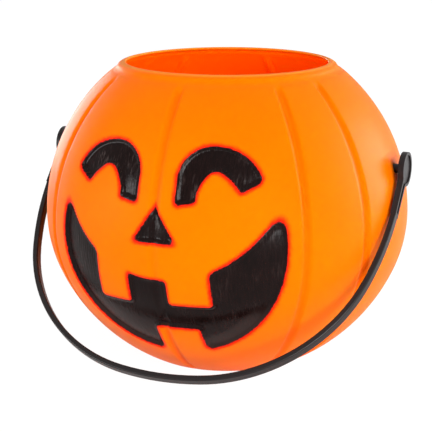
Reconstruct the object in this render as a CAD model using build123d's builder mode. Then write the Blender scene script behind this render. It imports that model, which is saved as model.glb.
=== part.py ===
from build123d import *
from math import acos, asin, atan2, cos, degrees, hypot, radians, sin, sqrt, tan
import os

os.makedirs("parts", exist_ok=True)

# Main sizes of the pail, in millimetres. The origin is the middle of the base and the face looks along -Y.
body_width = 180.0
body_height = 147.0
equator_height = 72.6
mouth_width = 99.2
wall = 1.5
overrun = 5.0

# Side section of the pail: an arc up to the collar, a tighter bend below the equator, an arc to the foot.
bend_radius = 65.6
bend_angle = 22.9
foot_width = 76.4
corner_radius = 8.0
collar_radius = 6.0
neck_angle = 30.3
lip_round = 0.5
push_up = 2.5
push_up_radius = 26.0
push_up_slope = 45.0

# Grooves between the segments.
groove_width = 3.6
groove_depth = 0.9
groove_angles = (0, 45, 67, 113, 135, 180, 225, 247, 293, 315)
groove_top_share = 0.857
groove_end_share = 0.952

# Sunk face.
recess_depth = 2.0
paint_thickness = 0.3
face_round = 1.4
tip_round = 2.6
notch_round = 3.6

# Eye outline: across from the middle of the face, up by shares of the height from the equator to the rim.
eye_inner = 9.2
eye_outer = 45.0
eye_leg_width = 9.0
eye_end_run = 8.0
eye_top_share = 0.6237
eye_end_share = 0.4274
eye_leg_share = 0.2876
leg_slant_share = 0.11
end_drop_share = 0.315
band_share = 0.623
crown_share = 0.37
notch_share = 0.45
inner_arch_shares = (0.10, 0.72)
outer_arch_shares = (0.76, 0.72)
outer_notch_shares = (0.63, 0.08)
inner_notch_shares = (0.32, 0.06)

# Nose.
nose_width = 20.6
nose_top_share = 0.2688
nose_bottom_share = 0.0565

# Mouth: a round outline, a round smile cut and three square teeth.
mouth_shift = 1.5
mouth_centre_height = 74.0
mouth_radius = 54.8
smile_centre_height = 116.5
smile_radius = 57.4
tooth_top = 78.0
left_tooth_left = -31.0
left_tooth_right = -13.8
left_tooth_bottom = 46.2
right_tooth_left = 4.8
right_tooth_right = 25.2
right_tooth_bottom = 46.9
low_tooth_left = -4.7
low_tooth_right = 16.8
low_tooth_top = 34.4

# Handle, drawn as it hangs in front of the pail. Its bow is drawn in shares of its half width.
pivot_share = 0.36156
strap_rest_height = 11.96
bow_gap = 31.7
strap_width = 5.0
strap_thickness = 2.8
strap_round = 0.7
side_bow_share = 1.6797
side_bow_angle = 15.6
corner_bow_share = 0.8829
corner_bow_angle = 66.3
strap_start_height = 8.5
lug_gap = 3.35
lug_radius = 8.2
lug_thickness = 2.8
lug_border = 1.4
lug_round = 2.0
lug_pocket = 0.7
neck_length = 26.0
neck_width = 6.0
neck_end_width = 5.2
peg_radius = 2.2
hole_clearance = 0.4
head_radius = 3.7
head_tip_radius = 2.0
head_length = 4.0
head_clearance = 0.4

# Centres of the arcs of the side section. The top arc runs from the equator to the neck under the collar.
half_width = body_width / 2
lip_radius = mouth_width / 2
collar_height = body_height - collar_radius
neck_x = lip_radius + collar_radius * cos(radians(neck_angle))
neck_rise = collar_height + collar_radius * sin(radians(neck_angle)) - equator_height
neck_run = half_width - neck_x
top_radius = (neck_run**2 + neck_rise**2) / (2 * neck_run)
top_x = half_width - top_radius
bend_x = half_width - bend_radius
upper_rise = body_height - equator_height
pivot_height = equator_height + pivot_share * upper_rise

# The low arc carries on from the bend and touches the round corner of the foot.
foot_x = foot_width / 2
foot_run = foot_x - bend_x
foot_drop = equator_height - corner_radius
foot_along = foot_run * cos(radians(bend_angle)) + foot_drop * sin(radians(bend_angle))
bend_spare = bend_radius - corner_radius
low_growth = (foot_run**2 + foot_drop**2 - bend_spare**2) / (2 * (bend_spare - foot_along))
low_radius = bend_radius + low_growth
low_x = bend_x - low_growth * cos(radians(bend_angle))
low_height = equator_height + low_growth * sin(radians(bend_angle))
foot_angle = degrees(atan2(low_height - corner_radius, foot_x - low_x))


def collar_joint(inset):
    # Where the collar circle crosses the top arc: the angle on each of them.
    top = top_radius - inset
    collar = collar_radius - inset
    rise = collar_height - equator_height
    apart = hypot(lip_radius - top_x, rise)
    turn = degrees(acos((apart**2 + top**2 - collar**2) / (2 * apart * top)))
    top_angle = degrees(atan2(rise, lip_radius - top_x)) - turn
    collar_angle = degrees(asin((top * sin(radians(top_angle)) - rise) / collar))
    return top_angle, collar_angle


def round_body(inset):
    # The pail's round form without grooves, its skin moved in by the inset.
    top_angle, collar_angle = collar_joint(inset)
    slant_shift = inset * tan(radians(push_up_slope / 2))
    slant_run = push_up / tan(radians(push_up_slope))
    with BuildSketch(Plane.XZ) as half:
        with BuildLine():
            CenterArc((foot_x, corner_radius), corner_radius - inset, -90, 90 - foot_angle)
            CenterArc((low_x, low_height), low_radius - inset, -foot_angle, foot_angle - bend_angle)
            CenterArc((bend_x, equator_height), bend_radius - inset, -bend_angle, bend_angle)
            CenterArc((top_x, equator_height), top_radius - inset, 0, top_angle)
            CenterArc((lip_radius, collar_height), collar_radius - inset, collar_angle, 90 - collar_angle)
            Polyline(
                (lip_radius, body_height - inset),
                (0, body_height - inset),
                (0, push_up + inset),
                (push_up_radius + slant_shift, push_up + inset),
                (push_up_radius + slant_run + slant_shift, inset),
                (foot_x, inset),
            )
        make_face()
    return revolve(half.sketch, axis=Axis.Z, mode=Mode.PRIVATE)


def groove_bars(inset):
    # Upright slabs through the axis, less the round floor of the grooves, the skin moved in by the inset.
    top = top_radius - inset
    floor_top = top - groove_depth
    floor_low = low_radius - inset - groove_depth
    rim_angle = collar_joint(0)[0]
    top_angle = rim_angle * groove_top_share
    end_angle = rim_angle * groove_end_share
    foot_end_x = low_x + floor_low * cos(radians(foot_angle))
    foot_end_z = low_height - floor_low * sin(radians(foot_angle))
    end_radius = top_x + top * cos(radians(end_angle))
    end_height = equator_height + top * sin(radians(end_angle))
    floor_x = top_x + floor_top * cos(radians(top_angle))
    floor_z = equator_height + floor_top * sin(radians(top_angle))
    with BuildSketch(Plane.XZ) as half:
        with BuildLine():
            CenterArc((low_x, low_height), floor_low, -foot_angle, foot_angle - bend_angle)
            CenterArc((bend_x, equator_height), bend_radius - inset - groove_depth, -bend_angle, bend_angle)
            CenterArc((top_x, equator_height), floor_top, 0, top_angle)
            Polyline(
                (floor_x, floor_z),
                (end_radius, end_height),
                (0, end_height),
                (0, 0),
                (foot_end_x - foot_end_z * tan(radians(foot_angle)), 0),
                (foot_end_x, foot_end_z),
            )
        make_face()
    floor = revolve(half.sketch, axis=Axis.Z, mode=Mode.PRIVATE)
    slab = Box(
        half_width + overrun,
        groove_width + 2 * inset,
        end_height,
        align=(Align.MIN, Align.CENTER, Align.MIN),
        mode=Mode.PRIVATE,
    )
    bar = slab - floor
    return [Rot(0, 0, angle - 90) * bar for angle in groove_angles]


def front_bar(outline):
    # The outline pushed straight out through the front of the pail.
    return extrude(outline, amount=half_width + overrun, dir=(0, -1, 0), mode=Mode.PRIVATE)


# Outlines of the face, drawn on the upright plane through the middle of the pail.
with BuildSketch(Plane.XZ) as right_eye:
    with BuildLine():
        leg_outer = eye_inner + eye_leg_width
        eye_top = equator_height + eye_top_share * upper_rise
        eye_end_height = equator_height + eye_end_share * upper_rise
        eye_leg_bottom = equator_height + eye_leg_share * upper_rise
        arch_width = eye_outer - eye_inner
        arch_height = eye_top - eye_end_height
        crown_x = eye_inner + crown_share * arch_width
        notch_x = eye_inner + notch_share * arch_width
        notch_top = eye_top - band_share * arch_height
        end_low = eye_end_height - end_drop_share * arch_height
        leg_low = eye_leg_bottom + leg_slant_share * arch_height
        inner_arch_x = eye_inner + inner_arch_shares[0] * arch_width
        outer_arch_x = eye_inner + outer_arch_shares[0] * arch_width
        outer_notch_x = eye_inner + outer_notch_shares[0] * arch_width
        inner_notch_x = eye_inner + inner_notch_shares[0] * arch_width
        ThreePointArc(
            (eye_inner, eye_end_height),
            (inner_arch_x, eye_end_height + inner_arch_shares[1] * arch_height),
            (crown_x, eye_top),
        )
        ThreePointArc(
            (crown_x, eye_top),
            (outer_arch_x, eye_end_height + outer_arch_shares[1] * arch_height),
            (eye_outer, eye_end_height),
        )
        Line((eye_outer, eye_end_height), (eye_outer - eye_end_run, end_low))
        ThreePointArc(
            (eye_outer - eye_end_run, end_low),
            (outer_notch_x, eye_end_height + outer_notch_shares[1] * arch_height),
            (notch_x, notch_top),
        )
        ThreePointArc(
            (notch_x, notch_top),
            (inner_notch_x, eye_end_height + inner_notch_shares[1] * arch_height),
            (leg_outer, leg_low),
        )
        Polyline(
            (leg_outer, leg_low),
            (eye_inner, eye_leg_bottom),
            (eye_inner, eye_end_height),
        )
    make_face()
    eye_corners = right_eye.vertices().sort_by(Axis.Y)[:3]
    eye_tip = right_eye.vertices().sort_by(Axis.X)[-1]
    notch_corner = right_eye.vertices().sort_by_distance((notch_x, notch_top))[0]
    fillet(eye_corners + [eye_tip], radius=face_round)
    fillet(notch_corner, radius=notch_round)

with BuildSketch(Plane.XZ) as nose:
    nose_top = equator_height + nose_top_share * upper_rise
    nose_bottom = equator_height + nose_bottom_share * upper_rise
    Polygon((0, nose_top), (-nose_width / 2, nose_bottom), (nose_width / 2, nose_bottom), align=None)
    fillet(nose.vertices(), radius=face_round)

with BuildSketch(Plane.XZ) as mouth:
    with Locations((mouth_shift, mouth_centre_height)):
        Circle(mouth_radius)
    with Locations((mouth_shift, smile_centre_height)):
        Circle(smile_radius, mode=Mode.SUBTRACT)
    with Locations((left_tooth_left, left_tooth_bottom)):
        Rectangle(
            left_tooth_right - left_tooth_left,
            tooth_top - left_tooth_bottom,
            align=(Align.MIN, Align.MIN),
            mode=Mode.SUBTRACT,
        )
    with Locations((right_tooth_left, right_tooth_bottom)):
        Rectangle(
            right_tooth_right - right_tooth_left,
            tooth_top - right_tooth_bottom,
            align=(Align.MIN, Align.MIN),
            mode=Mode.SUBTRACT,
        )
    with Locations((low_tooth_left, 0)):
        Rectangle(
            low_tooth_right - low_tooth_left,
            low_tooth_top,
            align=(Align.MIN, Align.MIN),
            mode=Mode.SUBTRACT,
        )
    tooth_corners = mouth.vertices().sort_by(Axis.Y)[:-2]
    mouth_tips = mouth.vertices().sort_by(Axis.Y)[-2:]
    fillet(mouth_tips, radius=tip_round)
    fillet(tooth_corners, radius=face_round)

face_outlines = [right_eye.sketch, nose.sketch, mouth.sketch]

# Round forms that the shell and its paint share.
skin = round_body(0)
recess_floor = round_body(recess_depth)
boss_floor = round_body(recess_depth + wall)
grooves = groove_bars(0)
ridges = groove_bars(wall)
recesses = [front_bar(outline) - recess_floor for outline in face_outlines]
boss_outlines = [offset(outline, amount=wall, mode=Mode.PRIVATE) for outline in face_outlines]
bosses = [front_bar(outline) - boss_floor for outline in boss_outlines]
left_recess = mirror(recesses[0], about=Plane.YZ, mode=Mode.PRIVATE)
left_boss = mirror(bosses[0], about=Plane.YZ, mode=Mode.PRIVATE)

# The hollow: the skin moved in by the wall, less the ridges behind grooves and the bosses behind the face.
mouth_plug = Pos(0, 0, equator_height) * Cylinder(
    lip_radius, body_height, align=(Align.CENTER, Align.CENTER, Align.MIN), mode=Mode.PRIVATE
)
hollow = round_body(wall) + mouth_plug
hollow = hollow - ridges - bosses - left_boss

with BuildPart() as pail_shell:
    add(skin)
    add(grooves, mode=Mode.SUBTRACT)
    add(recesses, mode=Mode.SUBTRACT)
    add(left_recess, mode=Mode.SUBTRACT)
    add(hollow, mode=Mode.SUBTRACT)
    with BuildSketch(Plane.YZ) as hole:
        with Locations((0, pivot_height)):
            Circle(peg_radius + hole_clearance)
    extrude(amount=half_width, both=True, mode=Mode.SUBTRACT)
    lip_edges = pail_shell.edges().sort_by(Axis.Z)[-2:]
    fillet(lip_edges, radius=lip_round)

pail_shell.part.label = "pail_shell"
export_step(pail_shell.part, "parts/pail_shell.step")

# Paint: a thin tray that lines each recess and ends flush with the skin.
paint_floor = round_body(recess_depth - paint_thickness)


def paint_tray(outline, recess):
    # The recess as far as the skin, less the same recess drawn one paint thickness smaller.
    room = front_bar(offset(outline, amount=-paint_thickness, mode=Mode.PRIVATE)) - paint_floor
    return (recess & skin) - room - grooves[0]


with BuildPart() as right_eye_paint:
    add(paint_tray(right_eye.sketch, recesses[0]))
right_eye_paint.part.label = "right_eye_paint"
export_step(right_eye_paint.part, "parts/right_eye_paint.step")

with BuildPart() as left_eye_paint:
    add(mirror(right_eye_paint.part, about=Plane.YZ, mode=Mode.PRIVATE))
left_eye_paint.part.label = "left_eye_paint"
export_step(left_eye_paint.part, "parts/left_eye_paint.step")

with BuildPart() as nose_paint:
    add(paint_tray(nose.sketch, recesses[1]))
nose_paint.part.label = "nose_paint"
export_step(nose_paint.part, "parts/nose_paint.step")

with BuildPart() as mouth_paint:
    add(paint_tray(mouth.sketch, recesses[2]))
mouth_paint.part.label = "mouth_paint"
export_step(mouth_paint.part, "parts/mouth_paint.step")

# Handle: where the pegs meet the wall, and the tilted plane in which the strap lies.
handle_reach = half_width + bow_gap
drop_angle = degrees(asin((pivot_height - strap_rest_height) / handle_reach))
wall_reach = top_x + sqrt(top_radius**2 - (pivot_height - equator_height) ** 2)
head_rise = pivot_height + head_radius - equator_height
head_shoulder = top_x + sqrt((top_radius - wall) ** 2 - head_rise**2) - head_clearance
lug_inner = wall_reach + lug_gap
strap_start = lug_inner + strap_thickness / 2
hang = (0, -cos(radians(drop_angle)), -sin(radians(drop_angle)))
across_strap = (0, sin(radians(drop_angle)), -cos(radians(drop_angle)))
handle_plane = Plane((0, 0, pivot_height), x_dir=(1, 0, 0), z_dir=across_strap)
lug_planes = [
    Plane((lug_inner, 0, pivot_height), x_dir=hang, z_dir=(1, 0, 0)),
    Plane((-lug_inner, 0, pivot_height), x_dir=hang, z_dir=(-1, 0, 0)),
]

# Centres of the three arcs of each half of the bow, from the side to the lowest point.
side_bow_radius = side_bow_share * strap_start
corner_bow_radius = corner_bow_share * strap_start
low_bow_angle = side_bow_angle + corner_bow_angle
side_step = side_bow_radius - corner_bow_radius
corner_x = strap_start - side_bow_radius + side_step * cos(radians(side_bow_angle))
low_bow_radius = corner_bow_radius + corner_x / cos(radians(low_bow_angle))
low_y = handle_reach - low_bow_radius
corner_y = low_y + (low_bow_radius - corner_bow_radius) * sin(radians(low_bow_angle))
side_y = corner_y - side_step * sin(radians(side_bow_angle))


def bow_area(shift):
    # The area inside the bow, its outline moved out by the shift.
    with BuildSketch(handle_plane) as area:
        with BuildLine():
            Line((0, strap_start_height), (strap_start + shift, strap_start_height))
            Line((strap_start + shift, strap_start_height), (strap_start + shift, side_y))
            CenterArc((strap_start - side_bow_radius, side_y), side_bow_radius + shift, 0, side_bow_angle)
            CenterArc((corner_x, corner_y), corner_bow_radius + shift, side_bow_angle, corner_bow_angle)
            CenterArc((0, low_y), low_bow_radius + shift, low_bow_angle, 90 - low_bow_angle)
            mirror(about=Plane.YZ)
        make_face()
    return area.sketch


with BuildPart() as handle:
    # The strap, one flat bow from lug to lug with rounded edges.
    strap_area = bow_area(strap_thickness / 2) - bow_area(-strap_thickness / 2)
    extrude(strap_area, amount=strap_width / 2, both=True)
    fillet(handle.edges().filter_by(GeomType.CIRCLE), radius=strap_round)
    # Round lugs with a tapered neck, and a shallow pocket that leaves a raised border on the outer face.
    with BuildSketch(*lug_planes) as lug:
        Circle(lug_radius)
        Polygon(
            (0, neck_width / 2),
            (neck_length, neck_end_width / 2),
            (neck_length, -neck_end_width / 2),
            (0, -neck_width / 2),
            align=None,
        )
        inner_corners = lug.vertices().sort_by_distance((lug_radius, 0))[:2]
        fillet(inner_corners, radius=lug_round)
    extrude(amount=lug_thickness)
    with BuildSketch(*[plane.offset(lug_thickness - lug_pocket) for plane in lug_planes]):
        offset(lug.sketch_local, amount=-lug_border)
    extrude(amount=lug_thickness, mode=Mode.SUBTRACT)
    # Pegs through the wall with snap heads inside.
    with BuildSketch(Plane.XZ):
        Polygon(
            (lug_inner + lug_thickness / 2, pivot_height),
            (lug_inner + lug_thickness / 2, pivot_height + peg_radius),
            (head_shoulder, pivot_height + peg_radius),
            (head_shoulder, pivot_height + head_radius),
            (head_shoulder - head_length, pivot_height + head_tip_radius),
            (head_shoulder - head_length, pivot_height),
            align=None,
        )
        mirror(about=Plane.YZ)
    revolve(axis=Axis((0, 0, pivot_height), (1, 0, 0)))

handle.part.label = "handle"
export_step(handle.part, "parts/handle.step")
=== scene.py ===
from math import acos, asin, cos, degrees, hypot, pi, radians, sin, tan

import bmesh
import bpy
import numpy as np
from mathutils import Matrix, Vector


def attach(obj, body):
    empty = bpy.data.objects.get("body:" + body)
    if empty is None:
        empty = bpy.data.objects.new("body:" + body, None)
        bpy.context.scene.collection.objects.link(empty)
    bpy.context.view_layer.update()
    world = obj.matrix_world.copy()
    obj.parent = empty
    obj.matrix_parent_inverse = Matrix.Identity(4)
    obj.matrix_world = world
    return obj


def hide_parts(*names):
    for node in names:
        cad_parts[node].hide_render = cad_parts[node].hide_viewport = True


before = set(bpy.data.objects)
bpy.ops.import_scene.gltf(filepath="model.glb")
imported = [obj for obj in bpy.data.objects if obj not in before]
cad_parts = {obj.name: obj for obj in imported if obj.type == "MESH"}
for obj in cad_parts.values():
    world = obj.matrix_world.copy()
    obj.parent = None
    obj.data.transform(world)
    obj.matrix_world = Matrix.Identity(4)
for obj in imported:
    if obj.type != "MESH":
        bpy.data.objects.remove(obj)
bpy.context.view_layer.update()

# Sizes of the pail in metres, in the CAD frame: the face looks along -Y and the pegs lie along X.
half_width = 0.090
rim_height = 0.147
equator_height = 0.0726
lip_radius = 0.0496
wall = 0.0015
bend_radius = 0.0656
bend_angle = 22.9
corner_radius = 0.008
collar_radius = 0.006
push_up = 0.0025
push_up_radius = 0.026
pivot_height = 0.0995
hole_radius = 0.0026

# Grooves between the segments, by their angle from the front towards +X.
groove_angles = (0, 45, 67, 113, 135, 180, 225, 247, 293, 315)
groove_depth = 0.0013
groove_half_width = 0.0024
groove_flank_share = 0.35
groove_top = 0.1425
groove_fade = 0.003
groove_foot = 0.004
# The front groove is fainter from the low tooth up to the eyes.
front_fade_share = 0.65
front_fade_start = (0.030, 0.040)
front_fade_end = (0.085, 0.095)

# The crease under the collar.
neck_height = 0.1440
neck_half_width = 0.0016
neck_depth = 0.0005

# The sunk face: how deep it is, and how far its soft edge reaches out and in from the outline.
recess_depth = 0.0022
edge_outside = 0.0007
edge_inside = 0.0016
least_facing = 0.3
paint_thickness = 0.0003
paint_edge = 0.0008
paint_sunk_share = 0.3

# Mesh steps along the skin and inside, and round the pail.
fine_step = 0.00115
middle_step = 0.0022
coarse_step = 0.0040
paint_step = 0.0008
sectors = (
    (41, 56), (8, 12), (15, 5), (6, 9), (40, 12), (6, 9), (16, 5), (6, 9), (39, 11), (6, 9),
    (39, 11), (6, 9), (16, 5), (6, 9), (40, 12), (6, 9), (15, 5), (8, 12), (41, 56),
)

# Centres of the arcs of the side section.
bend_centre_x = half_width - bend_radius
low_ball_radius = bend_radius + bend_centre_x / cos(radians(bend_angle))
low_ball_height = equator_height + bend_centre_x * tan(radians(bend_angle))
foot_angle = degrees(asin((low_ball_height - corner_radius) / (low_ball_radius - corner_radius)))
corner_centre_x = (low_ball_radius - corner_radius) * cos(radians(foot_angle))
collar_height = rim_height - collar_radius
bend_height = low_ball_height - low_ball_radius * sin(radians(bend_angle))


# Maths that works on arrays of mesh points and on shader values alike.


class Value:
    """A shader socket with operators; each one adds a node."""

    def __init__(self, finish, socket):
        self.finish = finish
        self.socket = socket

    def math(self, operation, *others):
        return self.finish.node("ShaderNodeMath", {"operation": operation}, dict(enumerate((self, *others))))

    def __add__(self, other):
        return self.math("ADD", other)

    def __sub__(self, other):
        return self.math("SUBTRACT", other)

    def __mul__(self, other):
        return self.math("MULTIPLY", other)

    def __radd__(self, other):
        return self.math("ADD", other)

    def __rmul__(self, other):
        return self.math("MULTIPLY", other)

    def __rsub__(self, other):
        return self.finish.node("ShaderNodeMath", {"operation": "SUBTRACT"}, {0: other, 1: self})

    def __neg__(self):
        return self.math("MULTIPLY", -1)


def highest(first, *rest):
    for other in rest:
        if isinstance(first, Value):
            first = first.math("MAXIMUM", other)
        elif isinstance(other, Value):
            first = other.math("MAXIMUM", first)
        else:
            first = np.maximum(first, other)
    return first


def lowest(first, *rest):
    return -highest(-first, *[-other for other in rest])


def size_of(value):
    return value.math("ABSOLUTE") if isinstance(value, Value) else np.abs(value)


def root(value):
    return value.math("SQRT") if isinstance(value, Value) else np.sqrt(value)


def soft_step(value, start, end):
    """0 at the start, 1 at the end, smooth between."""
    if isinstance(value, Value):
        inputs = {"Value": value, "From Min": start, "From Max": end}
        return value.finish.node("ShaderNodeMapRange", {"interpolation_type": "SMOOTHSTEP"}, inputs)
    share = np.clip((value - start) / (end - start), 0, 1)
    return share * share * (3 - 2 * share)


# Outlines of the face, as signed distances on the upright plane: below zero inside.


def circle_through(first, second, third):
    """Centre and radius of the circle through three points."""
    rows = np.array([second, third], float) - first
    middle = np.linalg.solve(rows, (rows**2).sum(1) / 2) + first
    return middle[0], middle[1], float(np.hypot(*(middle - first)))


def disc(x, z, circle):
    """Distance from a circle, below zero inside it."""
    across = x - circle[0]
    up = z - circle[1]
    return root(across * across + up * up) - circle[2]


def side(x, z, start, end):
    """Distance from the line through two points, below zero on its left."""
    run, rise = end[0] - start[0], end[1] - start[1]
    length = hypot(run, rise)
    return (x - start[0]) * (rise / length) - (z - start[1]) * (run / length)


def block(x, z, left, right, low, high, round_by=0.0020):
    """Distance from a square tooth with rounded corners, below zero inside it."""
    across = size_of(x - (left + right) / 2) - ((right - left) / 2 - round_by)
    up = size_of(z - (low + high) / 2) - ((high - low) / 2 - round_by)
    beyond = root(highest(across, 0) * highest(across, 0) + highest(up, 0) * highest(up, 0))
    return beyond + lowest(highest(across, up), 0) - round_by


def round_corner(first, second, radius):
    """The part that is inside both outlines, with a rounded corner."""
    over_first, over_second = highest(first + radius, 0), highest(second + radius, 0)
    return lowest(highest(first, second), -radius) + root(over_first * over_first + over_second * over_second)


eye_inner, eye_outer, eye_top = 0.0092, 0.0450, 0.1190
eye_end_height, eye_leg_bottom = 0.1044, 0.0940
eye_crown, crown_overlap = 0.0224, 0.003
notch_outer_end, notch_top, notch_inner_end = (0.0370, 0.0998), (0.0253, 0.1099), (0.0182, 0.0956)
inner_arch = circle_through((eye_inner, eye_end_height), (0.0128, 0.1149), (eye_crown, eye_top))
outer_arch = circle_through((eye_crown, eye_top), (0.0364, 0.1149), (eye_outer, eye_end_height))
outer_notch = circle_through(notch_outer_end, (0.0318, 0.1056), notch_top)
inner_notch = circle_through(notch_top, (0.0207, 0.1053), notch_inner_end)
notch_top_round, eye_end_round, notch_edge_round = 0.0032, 0.0022, 0.0010


def eye_distance(x, z):
    """Both eyes at once: bent arches with a leg beside the nose."""
    x = size_of(x)
    outer_side = highest(disc(x, z, outer_arch), eye_crown - crown_overlap - x)
    stem = highest(eye_inner - x, x - eye_crown, z - eye_end_height)
    arch = lowest(disc(x, z, inner_arch), outer_side, stem)
    notch = round_corner(disc(x, z, outer_notch), disc(x, z, inner_notch), notch_top_round)
    end = side(x, z, notch_outer_end, (eye_outer, eye_end_height))
    leg = side(x, z, (eye_inner, eye_leg_bottom), notch_inner_end)
    bounds = round_corner(arch, highest(end, leg), eye_end_round)
    return round_corner(bounds, -notch, notch_edge_round)


nose_top, nose_bottom, nose_half_width, nose_round = 0.0926, 0.0768, 0.0103, 0.0026


def nose_distance(x, z):
    """A triangle."""
    slope = side(size_of(x), z, (nose_half_width, nose_bottom), (0, nose_top))
    return round_corner(slope, nose_bottom - z, nose_round)


mouth_circle = (0.0015, 0.0740, 0.0548)
smile_circle = (0.0015, 0.1165, 0.0574)
grin_tip_round = 0.0062
# Each tooth: its left, right, low and high edges, and how round the mouth is beside it.
teeth = (
    ((-0.0310, -0.0138, 0.0462, 0.0780), 0.0018),
    ((0.0048, 0.0252, 0.0469, 0.0780), 0.0018),
    ((-0.0047, 0.0168, 0, 0.0344), 0.0034),
)


def mouth_distance(x, z):
    """A round grin with two teeth above and one below."""
    grin = round_corner(disc(x, z, mouth_circle), -disc(x, z, smile_circle), grin_tip_round)
    for edges, corner in teeth:
        grin = round_corner(grin, -block(x, z, *edges), corner)
    return grin


def face_distance(x, z):
    return lowest(eye_distance(x, z), nose_distance(x, z), mouth_distance(x, z))


# The skin's form at the front, on arrays of points.


def skin_radius(z, inset=0.0):
    """Radius of the round skin at a height."""
    low = np.sqrt(np.maximum((low_ball_radius - inset) ** 2 - (z - low_ball_height) ** 2, 0))
    bend = bend_centre_x + np.sqrt(np.maximum((bend_radius - inset) ** 2 - (z - equator_height) ** 2, 0))
    top = np.sqrt(np.maximum((half_width - inset) ** 2 - (z - equator_height) ** 2, 0))
    return np.where(z < bend_height, low, np.where(z < equator_height, bend, top))


def groove_sink(x, y, z):
    """How deep the grooves are under the skin at each point."""
    around = np.degrees(np.arctan2(x, -y)) % 360
    radius = np.hypot(x, y)
    foot = soft_step(z, 0, groove_foot) * soft_step(radius, corner_centre_x, corner_centre_x + groove_foot)
    ends = soft_step(groove_top - z, 0, groove_fade) * foot
    sink = np.zeros_like(x)
    for angle in groove_angles:
        apart = np.abs((around - angle + 180) % 360 - 180)
        off = np.radians(apart) * radius / groove_half_width
        dip = 1 - soft_step(off, groove_flank_share, 1)
        if angle == 0:
            faint = soft_step(z, *front_fade_start) * (1 - soft_step(z, *front_fade_end))
            dip = dip * (1 - front_fade_share * faint)
        sink = sink + groove_depth * dip
    return sink * ends


def face_sink(x, y, z):
    """How deep the face is sunk at each point, along Y."""
    off = face_distance(x, z)
    share = soft_step(-off, -edge_outside, edge_inside)
    facing = 1 - (x / half_width) ** 2 - ((z - equator_height) / half_width) ** 2
    return np.where(y < 0, share * recess_depth / np.sqrt(np.maximum(facing, least_facing)), 0)


def sink_skin(bm):
    """Presses the grooves and the face into a round skin."""
    bm.normal_update()
    places = np.array([v.co for v in bm.verts])
    normals = np.array([v.normal for v in bm.verts])
    x, y, z = places.T
    outwards = np.sign((normals * (places - (0, 0, equator_height))).sum(1))[:, None]
    neck = neck_depth * (1 - soft_step(np.abs(z - neck_height), 0, neck_half_width))
    sinks = groove_sink(x, y, z)
    places = places - normals * outwards * (sinks + neck)[:, None]
    places[:, 1] += face_sink(x, y, z)
    valley = bm.verts.layers.float["groove"]
    for vert, place, sink in zip(bm.verts, places, sinks):
        vert.co = place
        vert[valley] = sink / groove_depth


# Meshes.


def arc(bm, vert, centre, turn, step):
    """Draws an arc from a vert round a centre on the XZ plane and gives its last vert."""
    radius = hypot(vert.co.x - centre[0], vert.co.z - centre[1])
    steps = max(2, round(abs(radians(turn)) * radius / step))
    made = bmesh.ops.spin(
        bm, geom=[vert], cent=(centre[0], 0, centre[1]), axis=(0, -1, 0), angle=radians(turn), steps=steps
    )
    return [g for g in made["geom_last"] if isinstance(g, bmesh.types.BMVert)][0]


def line(bm, vert, place, step):
    """Draws a straight run from a vert and gives its last vert."""
    steps = max(1, round((Vector((place[0], 0, place[1])) - vert.co).length / step))
    stride = (Vector((place[0], 0, place[1])) - vert.co) / steps
    for _ in range(steps):
        made = bmesh.ops.extrude_vert_indiv(bm, verts=[vert])
        vert = made["verts"][0]
        vert.co += stride
    return vert


def collar_joint(inset):
    """Where the collar circle crosses the upper ball: the angle on each of them."""
    ball, collar = half_width - inset, collar_radius - inset
    rise = collar_height - equator_height
    apart = hypot(lip_radius, rise)
    ball_turn = degrees(acos((apart**2 + ball**2 - collar**2) / (2 * apart * ball)))
    ball_angle = degrees(asin(rise / apart)) - ball_turn
    collar_angle = degrees(asin((ball * sin(radians(ball_angle)) - rise) / collar))
    return ball_angle, collar_angle


def place_piece(name, bm, material, body):
    """Makes the object of a finished mesh and hangs it on its body."""
    mesh = bpy.data.meshes.new(name)
    bm.to_mesh(mesh)
    bm.free()
    mesh.polygons.foreach_set("use_smooth", [True] * len(mesh.polygons))
    mesh.materials.append(material)
    piece = bpy.data.objects.new(name, mesh)
    bpy.context.scene.collection.objects.link(piece)
    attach(piece, body)
    return piece


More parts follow.
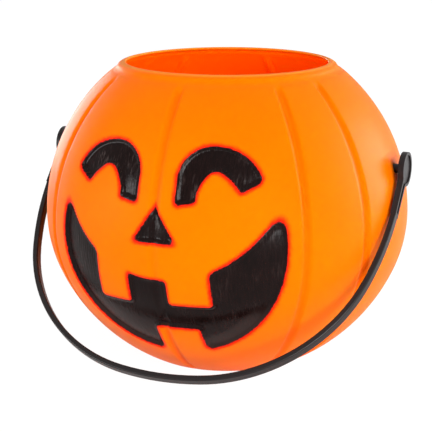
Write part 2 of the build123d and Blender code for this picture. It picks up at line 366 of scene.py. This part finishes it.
def make_pail(material):
    """The blow-moulded shell: a wall section spun round, then pressed in at the grooves and the face."""
    bm = bmesh.new()
    bm.verts.layers.float.new("groove")
    inside = bm.verts.layers.float.new("inside")
    ball_angle, collar_angle = collar_joint(0)
    inner_ball, inner_collar = collar_joint(wall)
    lip_angle = degrees(acos(wall / 2 / collar_radius))
    eye_reach = 33
    ball_centre = (0, equator_height)
    collar_centre = (lip_radius, collar_height)
    low_centre = (0, low_ball_height)
    bend_centre = (bend_centre_x, equator_height)
    corner_centre = (corner_centre_x, corner_radius)
    # Outside, from the middle of the base to the lip.
    vert = bmesh.ops.create_vert(bm, co=(0, 0, push_up))["vert"][0]
    vert = line(bm, vert, (push_up_radius, push_up), coarse_step)
    vert = line(bm, vert, (push_up_radius + push_up, 0), middle_step)
    vert = line(bm, vert, (corner_centre_x, 0), coarse_step)
    vert = arc(bm, vert, corner_centre, 90 - foot_angle, fine_step)
    vert = arc(bm, vert, low_centre, foot_angle - bend_angle, fine_step)
    vert = arc(bm, vert, bend_centre, bend_angle, fine_step)
    vert = arc(bm, vert, ball_centre, eye_reach, fine_step)
    vert = arc(bm, vert, ball_centre, ball_angle - eye_reach, middle_step)
    vert = arc(bm, vert, collar_centre, lip_angle - collar_angle, fine_step)
    lip_centre = collar_radius - wall / 2
    lip_place = (
        lip_radius + lip_centre * cos(radians(lip_angle)),
        collar_height + lip_centre * sin(radians(lip_angle)),
    )
    vert = arc(bm, vert, lip_place, 180, fine_step / 3)
    # Inside, from the lip back to the middle of the base.
    outer_count = len(bm.verts)
    vert = arc(bm, vert, collar_centre, inner_collar - lip_angle, fine_step)
    vert = arc(bm, vert, ball_centre, -inner_ball, middle_step)
    vert = arc(bm, vert, bend_centre, -bend_angle, middle_step)
    vert = arc(bm, vert, low_centre, bend_angle - foot_angle, middle_step)
    vert = arc(bm, vert, corner_centre, foot_angle - 90, middle_step)
    slant = wall * tan(radians(22.5))
    vert = line(bm, vert, (push_up_radius + push_up + slant, wall), coarse_step)
    vert = line(bm, vert, (push_up_radius + slant, push_up + wall), middle_step)
    vert = line(bm, vert, (0, push_up + wall), coarse_step)
    bm.verts.ensure_lookup_table()
    for v in bm.verts[outer_count:]:
        v[inside] = 1
    # Round the pail from the front, with more steps at the face and the grooves.
    bmesh.ops.rotate(bm, verts=bm.verts, cent=(0, 0, 0), matrix=Matrix.Rotation(-pi / 2, 3, "Z"))
    section = bm.verts[:] + bm.edges[:]
    for angle, steps in sectors:
        made = bmesh.ops.spin(
            bm, geom=section, cent=(0, 0, 0), axis=(0, 0, 1), angle=radians(angle), steps=steps
        )
        section = made["geom_last"]
    bmesh.ops.remove_doubles(bm, verts=bm.verts, dist=fine_step / 20)
    bmesh.ops.recalc_face_normals(bm, faces=bm.faces)
    sink_skin(bm)
    piece = place_piece("pail_shell_moulded", bm, material, "pail")
    drill_holes(piece)
    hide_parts("pail_shell")
    return piece


def drill_holes(piece):
    """Cuts the two peg holes through the wall."""
    bm = bmesh.new()
    turn = Matrix.Rotation(pi / 2, 4, "Y")
    bmesh.ops.create_cone(
        bm,
        cap_ends=True,
        segments=32,
        radius1=hole_radius,
        radius2=hole_radius,
        depth=half_width * 2.2,
        matrix=Matrix.Translation((0, 0, pivot_height)) @ turn,
    )
    mesh = bpy.data.meshes.new("drill")
    bm.to_mesh(mesh)
    bm.free()
    drill = bpy.data.objects.new("drill", mesh)
    bpy.context.scene.collection.objects.link(drill)
    cut = piece.modifiers.new("peg_holes", "BOOLEAN")
    cut.operation = "DIFFERENCE"
    cut.solver = "EXACT"
    cut.object = drill
    graph = bpy.context.evaluated_depsgraph_get()
    cut_mesh = bpy.data.meshes.new_from_object(piece.evaluated_get(graph))
    piece.modifiers.clear()
    plain_mesh = piece.data
    piece.data = cut_mesh
    bpy.data.meshes.remove(plain_mesh)
    bpy.data.objects.remove(drill)
    bpy.data.meshes.remove(mesh)
    cut_mesh.name = piece.name
    cut_mesh.set_sharp_from_angle(angle=radians(50))


def make_paint(name, node, distance, left, right, low, high, material):
    """A coat of paint: a grid trimmed to its outline, laid into the sunk face and given its thickness."""
    bm = bmesh.new()
    columns, rows = round((right - left) / paint_step), round((high - low) / paint_step)
    bmesh.ops.create_grid(bm, x_segments=columns, y_segments=rows, size=0.5)
    stand = Matrix.Rotation(pi / 2, 4, "X")
    spread = Matrix.Diagonal((right - left, 1, high - low, 1))
    middle = Matrix.Translation(((left + right) / 2, 0, (low + high) / 2))
    bmesh.ops.transform(bm, matrix=middle @ spread @ stand, verts=bm.verts)
    centres = np.array([f.calc_center_median() for f in bm.faces])
    outside = distance(centres[:, 0], centres[:, 2]) > 0
    bmesh.ops.delete(bm, geom=[f for f, out in zip(bm.faces[:], outside) if out], context="FACES")
    edge = [v for v in bm.verts if v.is_boundary]
    pull_to_outline(edge, distance)
    bmesh.ops.smooth_vert(bm, verts=edge, factor=0.5, use_axis_x=True, use_axis_z=True)
    pull_to_outline(edge, distance)
    places = np.array([v.co for v in bm.verts])
    x, z = places[:, 0], places[:, 2]
    y = -np.sqrt(skin_radius(z) ** 2 - x**2)
    lift = paint_thickness * (soft_step(-distance(x, z), 0, paint_edge) - paint_sunk_share)
    y = y + groove_sink(x, y, z) + face_sink(x, y, z) - lift
    for v, place in zip(bm.verts, y):
        v.co.y = place
    bmesh.ops.recalc_face_normals(bm, faces=bm.faces)
    if bm.faces[:][0].normal.y > 0:
        bmesh.ops.reverse_faces(bm, faces=bm.faces)
    bmesh.ops.solidify(bm, geom=bm.faces[:], thickness=paint_thickness)
    bmesh.ops.recalc_face_normals(bm, faces=bm.faces)
    piece = place_piece(name, bm, material, "pail")
    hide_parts(node)
    return piece


def pull_to_outline(verts, distance, reach=0.0001):
    """Moves verts sideways onto the outline."""
    for _ in range(4):
        x = np.array([v.co.x for v in verts])
        z = np.array([v.co.z for v in verts])
        off = distance(x, z)
        slope_x = (distance(x + reach, z) - distance(x - reach, z)) / (2 * reach)
        slope_z = (distance(x, z + reach) - distance(x, z - reach)) / (2 * reach)
        steep = np.maximum(slope_x**2 + slope_z**2, 0.2)
        for v, move_x, move_z in zip(verts, off * slope_x / steep, off * slope_z / steep):
            v.co.x -= move_x
            v.co.z -= move_z


# Finishes.


class Finish:
    """The nodes of a material or a world, built one by one."""

    def __init__(self, owner, shader="Principled BSDF"):
        owner.use_nodes = True
        self.owner = owner
        self.tree = owner.node_tree
        self.shader = self.tree.nodes[shader]

    def node(self, kind, settings, inputs, output=0):
        made = self.tree.nodes.new(kind)
        for name, value in settings.items():
            setattr(made, name, value)
        for name, value in inputs.items():
            self.join(made.inputs[name], value)
        return Value(self, made.outputs[output])

    def join(self, socket, value):
        if isinstance(value, Value):
            self.tree.links.new(value.socket, socket)
        else:
            socket.default_value = value

    def set(self, **inputs):
        for name, value in inputs.items():
            self.join(self.shader.inputs[name.replace("_", " ")], value)

    def place(self, kind="Object"):
        """Coordinates, of the object unless named: the vector and its three values."""
        vector = self.node("ShaderNodeTexCoord", {}, {}, kind)
        parts = self.node("ShaderNodeSeparateXYZ", {}, {"Vector": vector})
        sockets = parts.socket.node.outputs
        return vector, [Value(self, sockets[axis]) for axis in "XYZ"]

    def noise(self, vector, scale, detail=2.0, roughness=0.5):
        inputs = {"Vector": vector, "Scale": scale, "Detail": detail, "Roughness": roughness}
        return self.node("ShaderNodeTexNoise", {}, inputs, "Fac")

    def stretched(self, vector, scale):
        return self.node("ShaderNodeMapping", {}, {"Vector": vector, "Scale": scale})

    def mix(self, share, first, second):
        settings = {"data_type": "RGBA", "blend_type": "MIX"}
        return self.node("ShaderNodeMix", settings, {"Factor": share, 6: first, 7: second}, 2)

    def bump(self, height, strength, distance):
        inputs = {"Height": height, "Strength": strength, "Distance": distance}
        return self.node("ShaderNodeBump", {}, inputs)


def orange_finish():
    """Thin satin plastic with a red and black fringe of paint round the face, painted shade in the grooves
    and deep inside, a painted highlight along the lip and a painted red glow inside.
    """
    finish = Finish(bpy.data.materials.new("orange_plastic_moulded"))
    vector, (x, y, z) = finish.place()
    cloud = finish.noise(vector, 14.0)
    grain = finish.noise(vector, 900.0, 3.0)
    inside = finish.node("ShaderNodeAttribute", {"attribute_name": "inside"}, {}, "Fac")
    valley = finish.node("ShaderNodeAttribute", {"attribute_name": "groove"}, {}, "Fac")
    skin = finish.mix(cloud, (0.99, 0.138, 0.0, 1), (1.0, 0.172, 0.0, 1))
    # Painted shade: the groove valleys are tinted deeper red, where shade falls in the creases.
    skin = finish.mix(valley * 0.3, skin, (1.0, 0.080, 0.0, 1))
    # Painted shade inside: the lining darkens towards the bottom of the cavity, where less light reaches.
    shallow = soft_step(z, 0.02, 0.13)
    lining_with_painted_shade = finish.mix(shallow, (0.55, 0.070, 0.0, 1), (1.0, 0.200, 0.0, 1))
    skin = finish.mix(inside, skin, lining_with_painted_shade)
    # Painted highlight: a paler thin line along the top of the lip.
    lip_highlight = soft_step(z, 0.1460, 0.1466)
    skin = finish.mix(lip_highlight * 0.5, skin, (1.0, 0.36, 0.04, 1))
    ragged = finish.noise(vector, 500.0) * 0.0010 - 0.0005
    off = face_distance(x, z) + ragged
    front = 1 - soft_step(y, -0.02, -0.01)
    spray = (1 - soft_step(off, 0.0003, 0.0024)) * front * (1 - inside)
    cover = (1 - soft_step(off, -0.0003, 0.0005)) * front * (1 - inside)
    colour = finish.mix(spray, skin, (0.95, 0.012, 0.004, 1))
    colour = finish.mix(cover, colour, (0.012, 0.008, 0.008, 1))
    # Painted glow: the inside gives off a faint red light, strongest near the top, standing in for light
    # through the thin wall.
    glow = inside * shallow
    finish.set(
        Base_Color=colour,
        Roughness=0.40 + 0.08 * cloud,
        Normal=finish.bump(grain, 0.12, 0.00015),
        Specular_IOR_Level=0.12,
        Specular_Tint=(1.0, 0.30, 0.02, 1),
        Subsurface_Weight=0.4,
        Subsurface_Radius=(1.0, 0.15, 0.02),
        Subsurface_Scale=0.006,
        Emission_Color=finish.mix(glow, (0, 0, 0, 1), (1.0, 0.03, 0.0, 1)),
        Emission_Strength=0.3,
    )
    return finish.owner


def paint_finish():
    """Black paint, sprayed on, with fine upright streaks, painted highlights on the streaks and a painted
    highlight along the bottom of the mouth.
    """
    finish = Finish(bpy.data.materials.new("black_face_paint"))
    vector, (x, y, z) = finish.place()
    streaks = finish.noise(finish.stretched(vector, (1.0, 0.3, 0.09)), 1500.0, 3.0)
    blotches = finish.noise(vector, 90.0)
    colour = finish.mix(blotches * streaks * 2.0, (0.002, 0.0006, 0.0005, 1), (0.011, 0.004, 0.0035, 1))
    # Painted highlights: pale specks on the streak peaks, mostly in the eyes and less in the mouth, stand in
    # for light caught by the streaks.
    painted_sheen = soft_step(streaks, 0.52, 0.70) * soft_step(blotches, 0.46, 0.66)
    painted_sheen = painted_sheen * (0.15 + 0.6 * soft_step(z, 0.070, 0.090))
    colour = finish.mix(painted_sheen, colour, (0.060, 0.046, 0.043, 1))
    # Painted highlight: a lighter brown band along the lower edge of the mouth stands in for light caught on
    # the sunk mouth's lower wall.
    lower_mouth_highlight = soft_step(disc(x, z, mouth_circle), -0.0080, -0.0050) * (1 - soft_step(z, 0.036, 0.050))
    colour = finish.mix(lower_mouth_highlight * 0.8, colour, (0.026, 0.015, 0.013, 1))
    finish.set(
        Base_Color=colour,
        Roughness=0.10 + 0.12 * streaks,
        Specular_IOR_Level=0.12,
        Normal=finish.bump(streaks, 0.5, 0.0004),
    )
    return finish.owner


def handle_finish():
    """Black satin plastic."""
    finish = Finish(bpy.data.materials.new("black_plastic_satin"))
    vector, _ = finish.place()
    cloud = finish.noise(vector, 60.0)
    grain = finish.noise(vector, 1400.0, 3.0)
    colour = finish.mix(cloud, (0.007, 0.005, 0.005, 1), (0.014, 0.010, 0.010, 1))
    finish.set(
        Base_Color=colour,
        Roughness=0.28 + 0.12 * cloud,
        Specular_IOR_Level=0.26,
        Normal=finish.bump(grain, 0.15, 0.00015),
    )
    return finish.owner


pail_material = orange_finish()
paint_material = paint_finish()
handle_material = handle_finish()

make_pail(pail_material)
make_paint("left_eye_coat", "left_eye_paint", eye_distance, -0.047, -0.007, 0.092, 0.121, paint_material)
make_paint("right_eye_coat", "right_eye_paint", eye_distance, 0.007, 0.047, 0.092, 0.121, paint_material)
make_paint("nose_coat", "nose_paint", nose_distance, -0.012, 0.012, 0.075, 0.094, paint_material)
make_paint("mouth_coat", "mouth_paint", mouth_distance, -0.056, 0.059, 0.017, 0.090, paint_material)
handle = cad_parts["handle"]
handle.data.materials.clear()
handle.data.materials.append(handle_material)

# Floor, world and lamps.


def seen_share(finish, gloss_share):
    """1 for rays that come from the camera, the gloss share for rays that a gloss sends out."""
    paths = finish.node("ShaderNodeLightPath", {}, {}).socket.node.outputs
    return highest(Value(finish, paths["Is Camera Ray"]), Value(finish, paths["Is Glossy Ray"]) * gloss_share)


def make_floor():
    """A plain pale floor that shows white to the camera and keeps a faint shadow."""
    bm = bmesh.new()
    bmesh.ops.create_circle(bm, cap_ends=True, segments=96, radius=4.0)
    mesh = bpy.data.meshes.new("floor")
    bm.to_mesh(mesh)
    bm.free()
    finish = Finish(bpy.data.materials.new("pale_floor"))
    finish.set(Base_Color=(0.74, 0.74, 0.74, 1), Roughness=0.9, Specular_IOR_Level=0.0)
    seen = seen_share(finish, 0.5)
    glow = finish.node("ShaderNodeEmission", {}, {"Color": (1, 1, 1, 1), "Strength": 1.08})
    plain = Value(finish, finish.shader.outputs[0])
    mixed = finish.node("ShaderNodeMixShader", {}, {0: seen * 0.90, 1: plain, 2: glow})
    finish.join(finish.tree.nodes["Material Output"].inputs["Surface"], mixed)
    mesh.materials.append(finish.owner)
    floor = bpy.data.objects.new("floor", mesh)
    floor.location.z = -0.0002
    bpy.context.scene.collection.objects.link(floor)


def make_world(dim, bright, overhead):
    """White to the camera; as a light, bright low on the right, mild overhead and dim elsewhere."""
    world = bpy.data.worlds.new("studio")
    bpy.context.scene.world = world
    finish = Finish(world, "Background")
    _, (right, _, up) = finish.place("Generated")
    low = 1 - 0.8 * soft_step(up, 0.1, 0.6)
    light = dim + (bright - dim) * soft_step(right, 0.0, 0.75) * low
    light = light + overhead * soft_step(up, 0.5, 0.95)
    seen = seen_share(finish, 0.45)
    finish.set(Color=(1, 1, 1, 1), Strength=light + seen * (1.0 - light))


def make_lamp(name, place, aim, size, power):
    lamp = bpy.data.lights.new(name, "AREA")
    lamp.shape = "DISK"
    lamp.size = size
    lamp.energy = power
    lamp_object = bpy.data.objects.new(name, lamp)
    lamp_object.location = place
    lamp_object.rotation_euler = (Vector(aim) - Vector(place)).to_track_quat("-Z", "Y").to_euler()
    bpy.context.scene.collection.objects.link(lamp_object)


make_floor()
make_world(0.14, 1.1, 0.5)
lamp_aim = (0, 0, 0.07)
make_lamp("key", (0.95, -1.00, 0.24), lamp_aim, 0.9, 25.0)
make_lamp("fill", (-0.95, -0.90, 0.20), lamp_aim, 0.7, 12.0)
make_lamp("right_edge", (0.78, 0.70, 0.28), lamp_aim, 0.6, 8.0)
make_lamp("left_edge", (-0.85, 0.60, 0.10), lamp_aim, 0.6, 5.0)

# Camera, at the photograph's viewing angle.
camera = bpy.data.cameras.new("camera")
camera.lens = 111.7
camera.sensor_width = 36.0
camera.shift_x = -0.0262
camera.shift_y = -0.0248
camera_object = bpy.data.objects.new("camera", camera)
camera_distance, camera_azimuth, camera_elevation = 0.675, radians(21.6), radians(13.93)
camera_aim = Vector((0, 0, rim_height / 2))
camera_back = Vector((
    sin(camera_azimuth) * cos(camera_elevation),
    -cos(camera_azimuth) * cos(camera_elevation),
    sin(camera_elevation),
))
camera_object.location = camera_aim + camera_back * camera_distance
camera_object.rotation_euler = camera_back.to_track_quat("Z", "Y").to_euler()
bpy.context.scene.collection.objects.link(camera_object)
bpy.context.scene.camera = camera_object
bpy.context.scene.view_settings.view_transform = "Standard"
